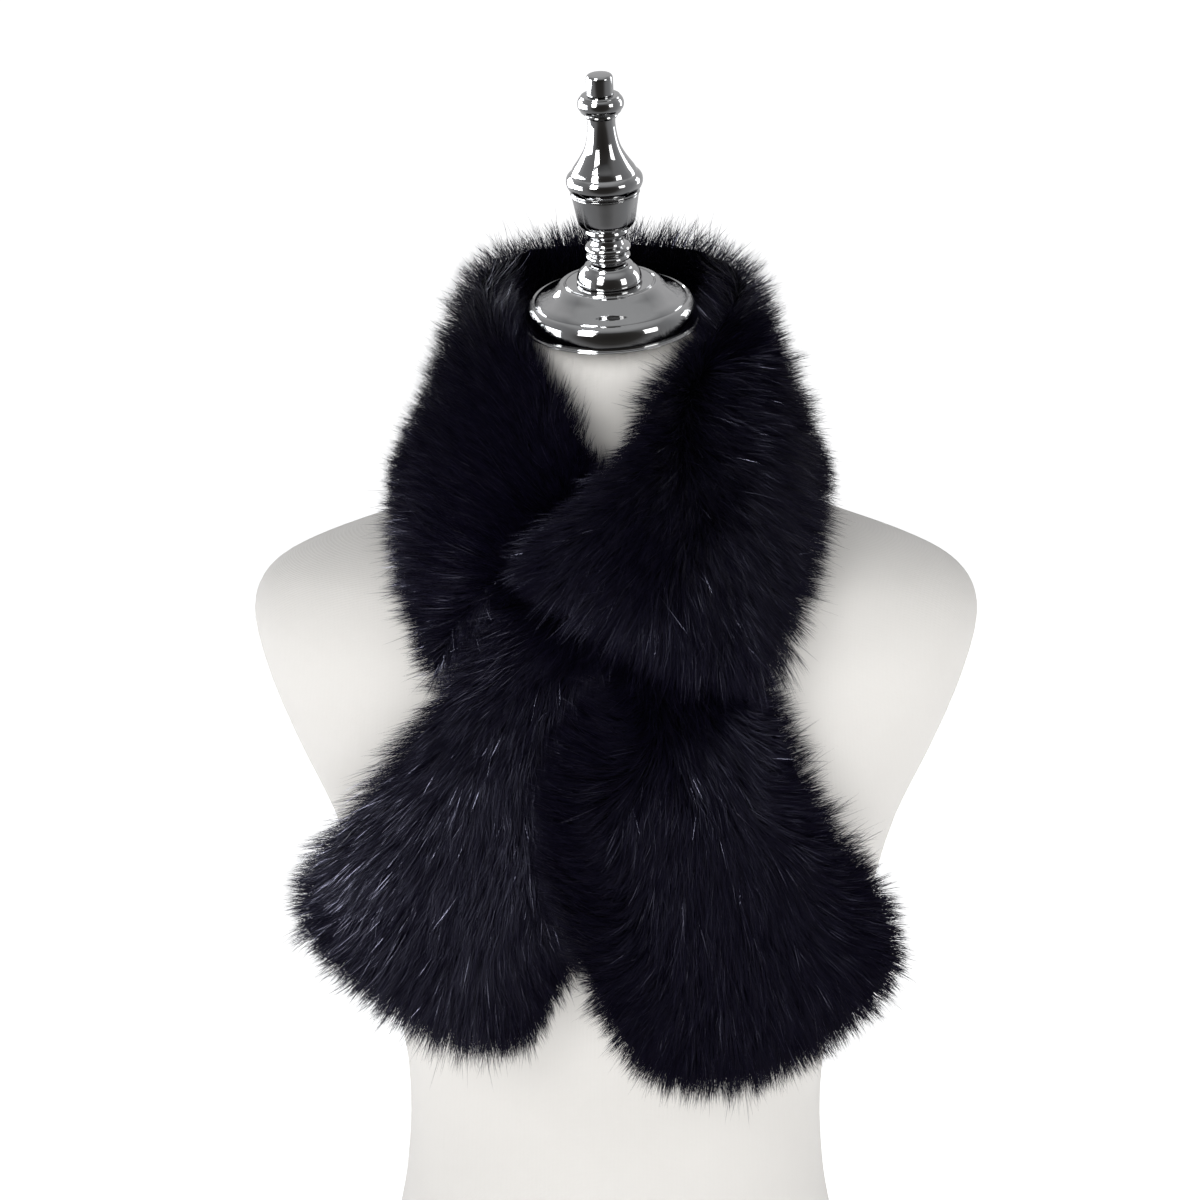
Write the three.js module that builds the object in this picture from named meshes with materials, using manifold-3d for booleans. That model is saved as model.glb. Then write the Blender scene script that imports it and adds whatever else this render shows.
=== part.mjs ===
// A long-pile fur collar wrap, worn on a limbless dress form with a turned metal neck cap.
// Millimetres, +Z up, front towards -Y. The origin is the middle of the form's flat underside.
// The wrap is one strip, about 145 wide over its pile. It goes round the neck, crosses on the chest and
// passes through a slot in itself, so that two tails hang from the slot's upper lip. Each stretch that
// shows is a solid as thick as the fur, cut to lie on the form and on the stretch beneath it.
import * as THREE from "three";
import { mergeVertices } from "three/addons/utils/BufferGeometryUtils.js";
import Module from "manifold-3d";

const wasm = await Module();
wasm.setup();

// Driving dimensions
const SEAM_GAP = 0.3; // between pieces that meet
const ROW_LENGTH = 24; // the least length of a row of the collar, at its shorter edge
const LAY_GAP = 0.5; // between a stretch of fur and what it lies on
const SECTION_POINTS = 28; // round a stretch's section
const RINGS_PER_ROW = 2; // sections made for each row of a stretch's table
const PAD_SQUARENESS = 2.5; // 2 is an ellipse, more is a flatter pad
const SHOULDER_HEIGHT = 462;
const TORSO_POINTS = 48;
const TORSO_RINGS_PER_ROW = 2;
const LATHE_SEGMENTS = 28;
const CAP_RADIUS = 46.3;
const CAP_CENTRE = new THREE.Vector3(-2.6, -12, 622.9); // the middle of the cap's underside
const NECK_LEAN = 8.6; // degrees forward
const CAP_SIDE_LEAN = 2.8; // degrees to the left
const SLIVER = 0.15; // edges shorter than this are dropped after a cut
const CAP_BURY = 12; // how far the room for the cap reaches below it

const radians = THREE.MathUtils.degToRad;
const vector = (x, y, z) => new THREE.Vector3(x, y, z);

// A table's rows as objects, one for each row, with the named columns as keys.
function table(columns, rows) {
  const names = columns.split(" ");
  return rows.map((row) => Object.fromEntries(names.map((name, i) => [name, row[i]])));
}

// The form's level sections, from the underside up: half width, depth in front of and behind the middle,
// where the middle lies, how square the section is, and how far it leans forward.
const TORSO = table("z half front back middle square lean", [
  [0, 141, 92, 90, 0, 2.3, 0],
  [5, 146, 97, 95, 0, 2.3, 0],
  [50, 138, 97, 92, 0, 2.3, 0],
  [102, 123, 92, 84, 0, 2.2, 0],
  [140, 118, 87, 77, 0, 2.2, 0],
  [176, 117, 84, 74, 0, 2.2, 0],
  [215, 121, 86, 77, 0, 2.2, 0],
  [262, 133, 95, 84, 0, 2.2, 0],
  [308, 146, 104, 91, 0, 2.2, 0],
  [346, 157, 109, 95, 0, 2.2, 0],
  [382, 173.5, 109, 98, 0, 2.3, 0],
  [417, 188, 105, 98, 0, 2.4, 0],
  [445, 196.5, 100, 96, 0, 2.4, 0],
  [462, 199, 95, 93, 0, 2.3, 0],
  [476, 195, 89, 89, 0, 2.2, 0],
  [488, 183, 84, 85, 0, 2.1, 0],
  [499, 159, 78, 81, 0, 2, 0.5],
  [510, 126, 71, 77, 0, 1.9, 1.5],
  [522, 94, 63, 73, 0, 1.9, 3],
  [537, 71, 56, 66, -1, 1.95, 5],
  [555, 57.5, 51.5, 57, -2, 2, 6.5],
  [578, 50, 48.5, 49.5, -4.5, 2, 7.8],
  [602, 46.5, 46.5, 46.5, -9, 2, 8.6],
]);

// The collar, from the slot's upper lip up the right front, round the back and down the left front to
// where it goes under itself. Each row is one line across the strip, from its neck edge to its outer
// edge, with the fur's thickness, how far its middle stands proud, and how far it bows along the strip.
const STRIP_COLUMNS = "neckX neckY neckZ outX outY outZ thick crown bow";
const COLLAR = table(STRIP_COLUMNS, [
  [-60, -103, 511, 80, -112, 446, 18, 12, -4],
  [-50, -102, 524, 87, -109, 458, 30, 12, -2],
  [-36, -98, 541, 96, -97, 472, 34, 11, 0],
  [-13, -88, 563, 104, -76, 490, 34, 10, 0],
  [4, -75, 582, 109, -54, 506, 34, 6, 0],
  [17, -64, 603, 112, -26, 518, 34, 1, 0],
  [54, -30, 636, 113, 10, 521, 35, -5, 0],
  [64, 3, 650, 107, 52, 519, 36, -6, 0],
  [48, 38, 658, 75, 88, 517, 36, 0, 0],
  [-1, 56, 659, -1, 106, 514, 36, 4, 0],
  [-50, 38, 658, -79, 88, 517, 38, 0, 0],
  [-69, 3, 650, -112, 52, 519, 38, -7, 0],
  [-61, -30, 638, -118, 10, 520, 36, -5, 0],
  [-43, -52, 620, -119, -24, 512, 35, 0, 0],
  [-24, -62, 600, -115, -62, 489, 34, 7, 0],
  [-10, -74, 573, -104, -89, 458, 33, 7, 0],
  [14, -79, 538, -93, -98, 441, 27, 5, 0],
  [42, -88, 505, -60, -102, 450, 20, 3, 0],
  [58, -96, 482, -38, -104, 468, 14, 0, 0],
]);
const RIGHT_SHOULDER = 6.4; // rows of COLLAR at which one stretch ends and the next begins
const LEFT_SHOULDER = 11.6;

// The tail below the slot, from under the lip to its end. The neck edge is its left edge.
const TAIL_LEFT = table(STRIP_COLUMNS, [
  [-66, -100, 503, 62, -88, 462, 18, 2, 0],
  [-82, -102, 473, 70, -96, 436, 26, 4, 0],
  [-98, -103, 445, 56, -104, 408, 31, 6, 0],
  [-118, -103, 416, 34, -108, 374, 33, 8, 0],
  [-141, -99, 384, 10, -112, 338, 34, 8, 0],
  [-163, -95, 354, -9, -114, 308, 34, 7, 2],
  [-173, -91, 324, -20, -112, 285, 32, 6, 6],
  [-170, -90, 301, -29, -110, 266, 26, 5, 11],
  [-153, -93, 282, -42, -110, 245, 9, 3, 18],
]);

// The free end, out of the slot and over the other tail. The neck edge is its right edge.
const TAIL_RIGHT = table(STRIP_COLUMNS, [
  [68, -94, 480, -26, -97, 480, 14, 2, 0],
  [79, -97, 452, -18, -106, 456, 20, 3, 0],
  [94, -101, 424, -32, -119, 430, 30, 8, 0],
  [108, -104, 394, -43, -130, 396, 35, 10, 0],
  [126, -102, 364, -42, -134, 352, 36, 9, 0],
  [146, -98, 336, -33, -134, 314, 35, 8, 2],
  [156, -96, 306, -18, -130, 280, 33, 7, 6],
  [155, -97, 280, -4, -125, 252, 27, 5, 12],
  [141, -100, 262, 16, -120, 228, 9, 3, 20],
]);

// Soft folds in the outer fur: where each lies across the strip (-1 the neck edge, 1 the outer edge) at
// its first and last row, how wide it is, and its height, which is below 0 for a trough.
const FOLD_COLUMNS = "first last from to wide height";
const COLLAR_FOLDS = table(FOLD_COLUMNS, [
  [0, 4.5, -0.86, -0.62, 0.26, 4],
  [0, 4, -0.55, -0.2, 0.2, -3.5],
  [0, 5, -0.2, 0.2, 0.24, 3],
  [1, 6, 0.3, 0.5, 0.2, -3],
  [12, 16, 0.1, 0.35, 0.3, 3],
  [13, 16.5, -0.5, -0.35, 0.26, -4],
]);
const TAIL_LEFT_FOLDS = table(FOLD_COLUMNS, [
  [1, 6.5, -0.6, -0.5, 0.3, 3],
  [1.5, 7, -0.1, -0.05, 0.24, -3],
]);
const TAIL_RIGHT_FOLDS = table(FOLD_COLUMNS, [
  [1.5, 6.5, 0.6, 0.62, 0.26, 3],
  [2, 7, 0.12, 0.2, 0.3, -4],
  [2.5, 7, -0.55, -0.5, 0.28, 3.5],
]);

// Half outlines of the turned pieces: distance from the axis, then height above the cap's underside.
const CAP_DISC = [
  [0, 0], [44.4, 0], [45.6, 1.2], [CAP_RADIUS, 4], [CAP_RADIUS, 7.4], [45.3, 10.4], [43.4, 12.5],
  [41.9, 13.3], [41.2, 12.7], [40.5, 13.5], [38.6, 14.9], [35, 16.6], [31.4, 18.8], [28.6, 21.2],
  [26.6, 22.6], [25.2, 22.8], [24.4, 22.2], [23.6, 22.8], [21, 23], [0, 23],
];
const CAP_DOME = [
  [0, 23.3], [17, 23.3], [17.6, 24.3], [17.2, 26.6], [15.9, 29.4], [13.6, 31.8], [11, 33.5], [0, 34],
];
const FINIAL_RINGS = [
  [0, 34.3], [9.4, 34.3], [10, 35.5], [11.6, 36.4], [11.9, 37.7], [11.4, 38.8], [10.4, 39.6],
  [10.7, 40.6], [12, 41.4], [12.2, 42.6], [11.4, 43.8], [9.4, 44.6], [8.6, 46.4], [8.7, 48.4],
  [10.7, 50], [11.4, 51.4], [10.9, 52.8], [9.6, 53.4], [0, 53.4],
];
const FINIAL_CUP = [
  [0, 53.7], [11, 53.7], [13.3, 54.6], [15, 56.6], [15.9, 60], [16.9, 66], [17.8, 71.4], [17.8, 72.6],
  [17, 73.4], [0, 73.4],
];
const FINIAL_BELL = [
  [0, 73.7], [16.8, 73.7], [18.2, 74.6], [19.8, 77.2], [20.4, 79.6], [20, 82], [18.6, 83.8],
  [17.6, 84.6], [16.4, 87], [14.2, 90.2], [11.9, 93.8], [9.8, 97.8], [8.5, 102], [7.7, 106.5],
  [7.3, 110.5], [7.3, 114.4], [0, 114.4],
];
const FINIAL_BAND = [[0, 114.7], [8.2, 114.7], [8.8, 115.9], [8.2, 117.1], [0, 117.1]];
const FINIAL_BULB = [
  [0, 117.4], [9.4, 117.4], [11, 118.8], [12.1, 120.6], [12.3, 122.4], [11.8, 124.4], [10.6, 126],
  [9, 127], [0, 127],
];
const FINIAL_BUTTON = [
  [0, 127.3], [7.1, 127.3], [7.1, 135.4], [6.6, 137.2], [5.4, 138], [2.8, 138.4], [0, 138.5],
];

// Each named column at a place between a table's rows, on a smooth curve through them.
function rowAt(rows, place) {
  const last = rows.length - 1;
  const i = Math.min(Math.max(Math.floor(place), 0), last - 1);
  const t = place - i;
  const near = [i - 1, i, i + 1, i + 2].map((k) => rows[Math.min(Math.max(k, 0), last)]);
  const between = (name) => {
    const [a, b, c, d] = near.map((row) => row[name]);
    return b + 0.5 * t * (c - a + t * (2 * a - 5 * b + 4 * c - d + t * (3 * (b - c) + d - a)));
  };
  return Object.fromEntries(Object.keys(rows[0]).map((name) => [name, between(name)]));
}

// A closed surface through rings of points, turned to face out. Each end is closed by strips between the
// ring's two sides, so a curved end closes cleanly too.
function skin(rings) {
  const count = rings[0].length;
  const positions = rings.flat().flatMap((p) => p.toArray());
  const index = [];
  const quad = (a, b, c, d) => index.push(a, b, c, a, c, d);
  for (let i = 0; i + 1 < rings.length; i += 1) {
    for (let j = 0; j < count; j += 1) {
      const next = (j + 1) % count;
      quad(i * count + j, i * count + next, (i + 1) * count + next, (i + 1) * count + j);
    }
  }
  for (const [ring, turned] of [[0, true], [rings.length - 1, false]]) {
    for (let j = 0; j < count / 2; j += 1) {
      const [a, b, c, d] = [j, j + 1, count - j - 1, (count - j) % count].map((k) => ring * count + k);
      const corners = [[a, b, c], [a, c, d]].filter((face) => new Set(face).size === 3);
      corners.forEach((face) => index.push(...(turned ? face.reverse() : face)));
    }
  }
  const geometry = new THREE.BufferGeometry();
  geometry.setAttribute("position", new THREE.Float32BufferAttribute(positions, 3));
  geometry.setIndex(index);
  return facingOut(geometry);
}

function signedVolume(geometry) {
  const at = geometry.attributes.position;
  const corner = (i) => vector(0, 0, 0).fromBufferAttribute(at, geometry.index.getX(i));
  let sum = 0;
  for (let i = 0; i < geometry.index.count; i += 3) {
    sum += corner(i).dot(corner(i + 1).cross(corner(i + 2)));
  }
  return sum / 6;
}

function facingOut(geometry) {
  if (signedVolume(geometry) < 0) {
    geometry.setIndex(Array.from(geometry.index.array).reverse());
  }
  return geometry;
}

// A closed geometry as a solid that can be joined and cut, and back again.
function solid(geometry) {
  const bare = geometry.clone();
  bare.deleteAttribute("normal");
  bare.deleteAttribute("uv");
  const merged = mergeVertices(bare, 1e-3);
  return new wasm.Manifold(
    new wasm.Mesh({
      numProp: 3,
      vertProperties: merged.attributes.position.array,
      triVerts: new Uint32Array(merged.index.array),
    }),
  );
}

function shape(made) {
  const mesh = made.getMesh();
  const geometry = new THREE.BufferGeometry();
  geometry.setAttribute("position", new THREE.BufferAttribute(mesh.vertProperties, 3));
  geometry.setIndex(new THREE.BufferAttribute(mesh.triVerts, 1));
  geometry.computeVertexNormals();
  return geometry;
}

// The largest of the pieces that a cut leaves, without the cut's slivers. It is welded again, since a
// piece may hang on by a sliver that the weld closes.
function mainPiece(made) {
  const largest = (body) => body.decompose().reduce((a, b) => (a.volume() > b.volume() ? a : b));
  return largest(solid(shape(largest(made.simplify(SLIVER)))));
}

const power = (value, exponent) => Math.sign(value) * Math.abs(value) ** exponent;

// One section of the form, larger all round by grow, and above its shoulders higher by as much.
function torsoRing(row, grow) {
  const exponent = 2 / row.square;
  const rise = row.z > SHOULDER_HEIGHT ? grow : 0;
  return Array.from({ length: TORSO_POINTS }, (_, j) => {
    const angle = (2 * Math.PI * j) / TORSO_POINTS;
    const depth = angle > Math.PI ? row.front : row.back;
    const x = (row.half + grow) * power(Math.cos(angle), exponent);
    const y = (depth + grow) * power(Math.sin(angle), exponent);
    const lean = radians(row.lean);
    return vector(x, row.middle + y * Math.cos(lean), row.z + y * Math.sin(lean) + rise);
  });
}

// The cap's own axes: its tilt, and its place on the neck.
function placeOnNeck(object, height = 0) {
  const axis = vector(-Math.sin(radians(CAP_SIDE_LEAN)), -Math.sin(radians(NECK_LEAN)), 1).normalize();
  object.quaternion.setFromUnitVectors(vector(0, 0, 1), axis);
  object.position.copy(CAP_CENTRE).addScaledVector(axis, height);
  object.updateMatrixWorld(true);
  return object;
}

// The torso ends in a round ring just below the cap, in the cap's own tilted plane.
function neckTop(grow) {
  const plane = placeOnNeck(new THREE.Object3D(), grow - SEAM_GAP);
  const radius = CAP_DISC[1][0] + grow;
  return Array.from({ length: TORSO_POINTS }, (_, j) => {
    const angle = (2 * Math.PI * j) / TORSO_POINTS;
    return plane.localToWorld(vector(radius * Math.cos(angle), radius * Math.sin(angle), 0));
  });
}

function torso(grow = 0) {
  const steps = (TORSO.length - 1) * TORSO_RINGS_PER_ROW;
  const rings = Array.from({ length: steps + 1 }, (_, i) =>
    torsoRing(rowAt(TORSO, i / TORSO_RINGS_PER_ROW), grow),
  );
  return skin([...rings, neckTop(grow)]);
}

// How far the folds lift the outer fur at a place along and across the strip.
function foldHeight(folds, place, across) {
  return folds.reduce((sum, fold) => {
    const share = (place - fold.first) / (fold.last - fold.first);
    if (share <= 0 || share >= 1) return sum;
    const off = (across - fold.from - (fold.to - fold.from) * share) / fold.wide;
    return sum + fold.height * Math.sin(Math.PI * share) * Math.exp(-off * off);
  }, 0);
}

// One section of a stretch of fur: a rounded pad across the strip, crowned and bowed as its row says.
// side is 1 where the outer face is on the left of the way along the strip, else -1. The section is larger
// all round by grow, and moved along the strip by shift.
function stripRing(rows, folds, place, side, grow, shift) {
  const row = rowAt(rows, place);
  const neck = vector(row.neckX, row.neckY, row.neckZ);
  const out = vector(row.outX, row.outY, row.outZ);
  const middle = neck.clone().add(out).divideScalar(2);
  const half = out.clone().sub(neck).divideScalar(2);
  const step = 0.25;
  const centreAt = (at) => {
    const r = rowAt(rows, at);
    return vector(r.neckX + r.outX, r.neckY + r.outY, r.neckZ + r.outZ).divideScalar(2);
  };
  const last = rows.length - 1;
  const along = centreAt(Math.min(place + step, last)).sub(centreAt(Math.max(place - step, 0)));
  along.normalize();
  const outward = half.clone().cross(along).normalize().multiplyScalar(side);
  const width = half.clone().normalize();
  return Array.from({ length: SECTION_POINTS }, (_, j) => {
    const angle = (2 * Math.PI * j) / SECTION_POINTS;
    const across = power(Math.cos(angle), 2 / PAD_SQUARENESS);
    const through = power(Math.sin(angle), 2 / PAD_SQUARENESS);
    const mound = 1 - across * across;
    const lift =
      row.crown * mound +
      through * (row.thick / 2 + grow) +
      (through > 0 ? through * foldHeight(folds, place, across) : 0);
    return middle
      .clone()
      .addScaledVector(half, across)
      .addScaledVector(width, Math.sign(across) * grow)
      .addScaledVector(outward, lift)
      .addScaledVector(along, row.bow * mound + shift);
  });
}

// The first and last sections of a larger copy lie beyond the ends of the stretch itself.
function endShift(i, steps, grow) {
  if (i === 0) return -grow;
  return i === steps ? grow : 0;
}

// A stretch of the strip between two places in its table.
function stretch(rows, folds, first, last, side, grow = 0) {
  const steps = Math.ceil((last - first) * RINGS_PER_ROW);
  const rings = Array.from({ length: steps + 1 }, (_, i) =>
    stripRing(rows, folds, first + ((last - first) * i) / steps, side, grow, endShift(i, steps, grow)),
  );
  return solid(skin(rings));
}

// A turned piece about the Z axis, from its half outline.
function turned(outline) {
  const profile = outline.map(([r, h]) => new THREE.Vector2(r, h));
  const geometry = new THREE.LatheGeometry(profile, LATHE_SEGMENTS).rotateX(Math.PI / 2);
  return solid(facingOut(mergeVertices(bareOf(geometry), 1e-4)));
}

function bareOf(geometry) {
  geometry.deleteAttribute("normal");
  geometry.deleteAttribute("uv");
  return geometry;
}

// The room that the form and its cap need, a little larger than they are.
function formRoom() {
  const room = [
    [0, -CAP_BURY], [CAP_RADIUS + LAY_GAP, -CAP_BURY], [CAP_RADIUS + LAY_GAP, 12],
    [42, 15], [30, 24], [19, 26], [14, 34], [13, 60], [0, 60],
  ];
  const cap = placeOnNeck(new THREE.Object3D());
  const capRoom = solid(shape(turned(room)).applyMatrix4(cap.matrixWorld));
  return solid(torso(LAY_GAP)).add(capRoom);
}

const MATERIALS = {
  fur: new THREE.MeshStandardMaterial({ color: 0x0a0a10, roughness: 0.6, metalness: 0 }),
  linen: new THREE.MeshStandardMaterial({ color: 0xe9e6e2, roughness: 0.9, metalness: 0 }),
  chrome: new THREE.MeshStandardMaterial({ color: 0xc8c8cc, roughness: 0.08, metalness: 1 }),
};

function piece(name, geometry, material) {
  const mesh = new THREE.Mesh(geometry, MATERIALS[material]);
  mesh.name = name;
  return mesh;
}

// The wrap's stretches. Each is cut by the form, by the stretches above it and by its neighbour's end.
function wrap() {
  const room = formRoom();
  const seam = SEAM_GAP / 2 / ROW_LENGTH;
  const end = COLLAR.length - 1;
  const collar = (first, last, grow) => stretch(COLLAR, COLLAR_FOLDS, first, last, 1, grow);
  const right = collar(0, RIGHT_SHOULDER - seam);
  const back = collar(RIGHT_SHOULDER + seam, LEFT_SHOULDER - seam);
  const left = collar(LEFT_SHOULDER + seam, end);
  const tailLeft = stretch(TAIL_LEFT, TAIL_LEFT_FOLDS, 0, TAIL_LEFT.length - 1, -1);
  const tailRight = stretch(TAIL_RIGHT, TAIL_RIGHT_FOLDS, 0, TAIL_RIGHT.length - 1, 1);
  const rightRoom = collar(0, RIGHT_SHOULDER - seam, LAY_GAP);
  const tailLeftRoom = stretch(TAIL_LEFT, TAIL_LEFT_FOLDS, 0, TAIL_LEFT.length - 1, -1, LAY_GAP);
  const tailRightRoom = stretch(TAIL_RIGHT, TAIL_RIGHT_FOLDS, 0, TAIL_RIGHT.length - 1, 1, LAY_GAP);
  const cuts = {
    wrap_right: [right, []],
    wrap_back: [back, []],
    wrap_left: [left, [rightRoom, tailLeftRoom, tailRightRoom]],
    tail_left: [tailLeft, [rightRoom, tailRightRoom]],
    tail_right: [tailRight, [rightRoom]],
  };
  return Object.entries(cuts).map(([name, [body, over]]) => {
    const cut = over.reduce((made, other) => made.subtract(other), body.subtract(room));
    return piece(name, shape(mainPiece(cut)), "fur");
  });
}

function finial() {
  const group = placeOnNeck(new THREE.Group());
  const pieces = {
    cap_disc: CAP_DISC,
    cap_dome: CAP_DOME,
    finial_rings: FINIAL_RINGS,
    finial_cup: FINIAL_CUP,
    finial_bell: FINIAL_BELL,
    finial_band: FINIAL_BAND,
    finial_bulb: FINIAL_BULB,
    finial_button: FINIAL_BUTTON,
  };
  for (const [name, outline] of Object.entries(pieces)) {
    group.add(piece(name, shape(turned(outline)), "chrome"));
  }
  return group;
}

const model = new THREE.Group();
model.add(piece("form_torso", torso(), "linen"), finial(), ...wrap());

export default model;
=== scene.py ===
"""Looks for a long-pile fur collar wrap on a limbless dress form with a turned metal cap and finial.

The wrap's solids carry the shape. Each one is replaced by a thinner core of ground cloth and by a pile of
tapered strands that grow from it out to the solid's surface. The form and the turned metal are rebuilt
finer, from the same sizes. Lengths are in metres unless a name says mm.
"""

import math

import bmesh
import bpy
import numpy as np
from mathutils import Matrix, Vector, kdtree
from mathutils.bvhtree import BVHTree


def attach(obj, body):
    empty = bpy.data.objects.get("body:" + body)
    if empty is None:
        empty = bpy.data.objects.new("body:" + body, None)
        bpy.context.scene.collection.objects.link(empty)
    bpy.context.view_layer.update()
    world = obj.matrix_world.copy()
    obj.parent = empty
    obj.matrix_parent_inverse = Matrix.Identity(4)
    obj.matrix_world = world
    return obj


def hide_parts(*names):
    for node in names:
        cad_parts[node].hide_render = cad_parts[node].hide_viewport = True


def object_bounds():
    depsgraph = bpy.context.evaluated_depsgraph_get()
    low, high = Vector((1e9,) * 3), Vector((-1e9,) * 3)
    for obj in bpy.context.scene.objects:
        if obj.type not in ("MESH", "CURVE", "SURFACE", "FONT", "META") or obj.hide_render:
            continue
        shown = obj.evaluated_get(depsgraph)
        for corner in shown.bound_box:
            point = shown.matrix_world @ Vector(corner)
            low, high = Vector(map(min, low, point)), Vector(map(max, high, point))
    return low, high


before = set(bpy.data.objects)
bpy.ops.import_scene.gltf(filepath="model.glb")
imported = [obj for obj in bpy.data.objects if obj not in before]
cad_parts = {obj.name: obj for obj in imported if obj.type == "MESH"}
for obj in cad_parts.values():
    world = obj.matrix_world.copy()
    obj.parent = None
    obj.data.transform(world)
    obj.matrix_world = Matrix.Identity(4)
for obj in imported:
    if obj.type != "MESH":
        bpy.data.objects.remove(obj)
cad_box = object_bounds()
rng = np.random.default_rng(7)

MM = 0.001
SOLID_PIECES = ["wrap_right", "wrap_back", "wrap_left", "tail_left", "tail_right"]

# The camera looks down at the middle of the wrap, as in the photograph.
TARGET = Vector((-0.0088, 0, 0.463))
CAMERA_DISTANCE = 2.2
CAMERA_PITCH = math.radians(17)
LENS_MM = 120
SENSOR_MM = 36

# The ground cloth
CORE_VOXEL = 4.6 * MM
CORE_DEPTH = 11 * MM  # how far it lies below the fur's outer surface
CORE_SHARE = 0.3  # and at most this share of the solid's thickness there
SEAM_REACH = 1.2 * MM  # points this close to the next stretch lie on the seam between the two
SEAM_SIDE = 70 * MM  # how far from the seam the next stretch is looked for
THICKNESS_REACH = 0.1  # how far through a solid its thickness is looked for
THICKNESS_IF_OPEN = 0.02

# The pile
GUARD_LENGTH = 27 * MM
UNDER_LENGTH = 21 * MM
GUARD_WIDTH = 0.27 * MM
UNDER_WIDTH = 0.34 * MM
GUARD_SHARE = 0.45
GLINT_SHARE = 0.025  # strands bright enough to catch the light one by one
STRAY_SHARE = 0.05  # long hairs that stand out of the rest
STRAY_LENGTH = 1.35
LONGEST = 44 * MM
PROUD_LIMIT = 12 * MM  # how far a tip may stand out of the solid's surface
BOX_ROOM = 14 * MM  # and out of the whole model's box
TUFT_STRANDS = 20
TUFT_SPACING = 4.5 * MM
TUFT_PULL = 0.22
TINT_ROWS = 32  # how many shades of strand there are, one to each strip of the UV square
HIDDEN_SHARE = 0.12  # density where the pile faces the form or lies between two stretches
HIDDEN_REACH = 22 * MM
EDGE_REACH = 7 * MM  # the same for faces at the stretches' edges, whose pile shows
EDGE_FACING = 0.6  # faces that look less than this to the front or the back are at an edge
OPEN_HEIGHT = 0.6  # above this the pile that faces the neck shows too

# How the strands grow: shares of one where no unit is named, and spreads of a random share
TUFT_SWAY = 0.12
STRAND_SWAY = 0.17
TUFT_GROWTH = 0.13
TUFT_STAND = (-0.07, 0.1)
STRAND_STAND = 0.06
RISE = 0.32  # how steeply a strand ends, and how much more where its lie points away from the cloth
RISE_FACING = 0.6
START_STEEP, START_LIE = 0.55, 0.6  # a strand's first direction: straight out, and along its end
THIN_LENGTH = 0.45  # the share of their length that strands keep where the pile has no depth
FACING_LOSS = 0.33  # how much shorter they are where they point straight out
BEND_AT, TIP_AT = 0.42, 0.6
BEND_PULL = 0.35  # the share of a tuft's pull that reaches the bend
TIP_NARROWING = 0.55
RIBBON_TURN = 0.42  # how far ribbons turn at random from facing out
LIE_SOFTNESS = 4 * MM  # how far round a row of the lie tables its direction holds
LIE_FALLOFF = -1.6

# The stretches that run on into each other round the neck
NEXT = {"wrap_right": ["wrap_back"], "wrap_back": ["wrap_right", "wrap_left"], "wrap_left": ["wrap_back"]}


def table(columns, rows):
    names = columns.split()
    return [dict(zip(names, row)) for row in rows]


# How many strands grow on each stretch, and the size of its ground cloth.
STRETCHES = {
    "wrap_right": {"strands": 47000, "length": 0.18, "rests_on": ["form_torso_cloth", "wrap_left_ground"]},
    "wrap_back": {"strands": 39000, "length": 0.24, "rests_on": ["form_torso_cloth"]},
    "wrap_left": {"strands": 44000, "length": 0.19, "rests_on": ["form_torso_cloth"]},
    "tail_left": {"strands": 44000, "length": 0.25, "rests_on": ["form_torso_cloth"]},
    "tail_right": {"strands": 48000, "length": 0.25, "rests_on": ["form_torso_cloth", "tail_left_ground"]},
}

# The lie of the pile: where the tips point, as a turn in degrees from +X towards +Z, at places on the
# front of each stretch, in millimetres.
LIE_COLUMNS = "x z turn"
LIE = {
    "wrap_left": table(LIE_COLUMNS, [
        (-95, 619, 140), (-119, 542, 165), (-115, 498, 185), (-100, 462, 200), (-79, 585, 143),
        (-79, 533, 148), (-71, 489, 172), (-48, 602, 125), (-22, 588, 75), (-42, 616, 95),
        (-20, 559, 110), (-50, 633, 70), (-53, 661, 75), (-78, 656, 125), (-37, 533, 140),
    ]),
    "wrap_right": table(LIE_COLUMNS, [
        (38, 638, 110), (21, 615, 170), (10, 596, 190), (-2, 574, 215), (-12, 556, 215),
        (-35, 534, 205), (-57, 517, 190), (-42, 504, 200), (-12, 510, 235), (21, 544, 232),
        (38, 501, 262), (13, 474, 255), (64, 510, 275), (81, 474, 290), (102, 492, 345),
        (110, 544, 350), (104, 570, 15), (90, 613, 35), (76, 647, 50), (63, 587, 300),
        (55, 553, 265), (80, 553, 310), (54, 630, 60),
    ]),
    "tail_left": table(LIE_COLUMNS, [
        (-75, 492, 185), (-84, 457, 205), (-105, 416, 215), (-68, 430, 240), (-57, 395, 262),
        (-156, 362, 205), (-165, 329, 190), (-150, 299, 215), (-122, 343, 232), (-112, 285, 238),
        (-77, 334, 258), (-78, 260, 262), (-52, 272, 280), (-43, 297, 295), (-28, 476, 230),
        (-34, 446, 250), (-50, 482, 205), (-5, 468, 245),
    ]),
    "tail_right": table(LIE_COLUMNS, [
        (-11, 424, 150), (-47, 416, 158), (-44, 382, 150), (-34, 347, 140), (-29, 332, 130),
        (-20, 313, 150), (-2, 272, 215), (14, 249, 240), (37, 229, 265), (71, 252, 275),
        (105, 264, 290), (135, 276, 310), (145, 313, 350), (138, 347, 25), (115, 373, 20),
        (92, 409, 25), (80, 437, 15), (23, 391, 250), (44, 335, 262), (76, 346, 285),
        (54, 414, 280), (38, 452, 270),
    ]),
}
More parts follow.
